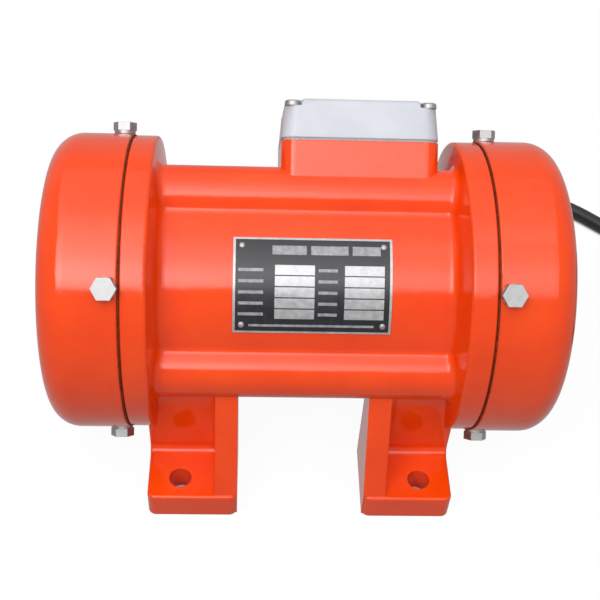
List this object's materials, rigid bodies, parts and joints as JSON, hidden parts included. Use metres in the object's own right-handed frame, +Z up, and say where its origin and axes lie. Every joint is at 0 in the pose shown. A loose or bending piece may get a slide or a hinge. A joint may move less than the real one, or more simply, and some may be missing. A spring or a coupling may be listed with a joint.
{
  "type": "vibration motor",
  "caption": "External vibration motor: cast body on four feet, deep end covers over eccentric weights, terminal box on its shoulder and a supply cable.",
  "frame": {"origin": "centre of the base, on the plane that the feet stand on, midway between the end covers and between the front and rear feet", "axes": "+X along the shaft towards the right end cover, +Y to the back, away from the nameplate side, +Z up from the feet"},
  "size_m": [0.4377, 0.2491, 0.1672],
  "materials": {
    "black_rubber": "smooth black rubber",
    "brass": "plain brass",
    "cage_steel": "pressed brass cage",
    "cast_aluminium": "as cast",
    "core_insulation": "PVC core insulation",
    "core_plates": "stacked electrical steel",
    "gland_plastic": "black nylon",
    "lid_plastic": "translucent grey-white moulding",
    "machined_steel": "turned and ground steel",
    "orange_enamel": "glossy stove enamel on cast metal",
    "plate_metal": "black printed aluminium",
    "plated_steel": "bright zinc plate",
    "terminal_plastic": "black thermoset moulding",
    "weight_steel": "flame cut and milled steel plate",
    "winding_copper": "varnished copper wire"
  },
  "bodies": {
    "housing": {"motor_body": "orange_enamel", "end_cover_left": "orange_enamel", "end_cover_right": "orange_enamel", "cover_seal_left": "black_rubber", "cover_seal_right": "black_rubber", "cover_screws_left": "plated_steel", "cover_screws_right": "plated_steel", "cover_washers_left": "plated_steel", "cover_washers_right": "plated_steel", "bearing_shield_left": "cast_aluminium", "bearing_shield_right": "cast_aluminium", "shield_screws_left": "machined_steel", "shield_screws_right": "machined_steel", "bearing_outer_ring_left": "machined_steel", "bearing_outer_ring_right": "machined_steel", "stator_core": "core_plates", "stator_winding": "winding_copper", "terminal_box_lid": "lid_plastic", "lid_gasket": "black_rubber", "lid_screws": "plated_steel", "terminal_block": "terminal_plastic", "terminal_studs": "brass", "terminal_links": "brass", "earth_screw": "plated_steel", "motor_leads": "core_insulation", "supply_cores": "core_insulation", "nameplate": "plate_metal", "nameplate_rivets": "plated_steel", "gland_body": "gland_plastic", "gland_nut": "gland_plastic", "gland_seal": "black_rubber", "cable_entry": "black_rubber", "supply_cable": "black_rubber", "cable_coil": "black_rubber", "cable_tail": "black_rubber", "cable_cores": "core_insulation", "core_ferrules": "brass"},
    "rotor": {"rotor_shaft": "machined_steel", "rotor_core": "core_plates", "rotor_end_rings": "cast_aluminium", "bearing_inner_ring_left": "machined_steel", "bearing_inner_ring_right": "machined_steel", "spacer_sleeve_left": "machined_steel", "spacer_sleeve_right": "machined_steel", "shaft_key_left": "machined_steel", "shaft_key_right": "machined_steel", "retaining_ring_left": "machined_steel", "retaining_ring_right": "machined_steel", "fixed_weight_left": "weight_steel", "fixed_weight_right": "weight_steel"},
    "bearing_set_left": {"bearing_cage_left": "cage_steel", "bearing_balls_left": "machined_steel"},
    "outer_weight_left": {"adjustable_weight_left": "weight_steel", "clamp_screw_left": "machined_steel"},
    "bearing_set_right": {"bearing_cage_right": "cage_steel", "bearing_balls_right": "machined_steel"},
    "outer_weight_right": {"adjustable_weight_right": "weight_steel", "clamp_screw_right": "machined_steel"}
  },
  "joints": [
    {"name": "rotor_spin", "type": "hinge", "parent": "housing", "child": "rotor", "pos_m": [0, 0, 0.08], "axis": [1, 0, 0], "continuous": true},
    {"name": "bearing_spin_left", "type": "hinge", "parent": "housing", "child": "bearing_set_left", "pos_m": [0, 0, 0.08], "axis": [1, 0, 0], "continuous": true},
    {"name": "weight_setting_left", "type": "hinge", "parent": "rotor", "child": "outer_weight_left", "pos_m": [0, 0, 0.08], "axis": [1, 0, 0], "range_deg": [0, 180]},
    {"name": "bearing_spin_right", "type": "hinge", "parent": "housing", "child": "bearing_set_right", "pos_m": [0, 0, 0.08], "axis": [1, 0, 0], "continuous": true},
    {"name": "weight_setting_right", "type": "hinge", "parent": "rotor", "child": "outer_weight_right", "pos_m": [0, 0, 0.08], "axis": [1, 0, 0], "range_deg": [0, 180]}
  ],
  "couplings": [
    {"joint": "bearing_spin_left", "follows": "rotor_spin", "ratio": 0.3815},
    {"joint": "bearing_spin_right", "follows": "rotor_spin", "ratio": 0.3815}
  ]
}
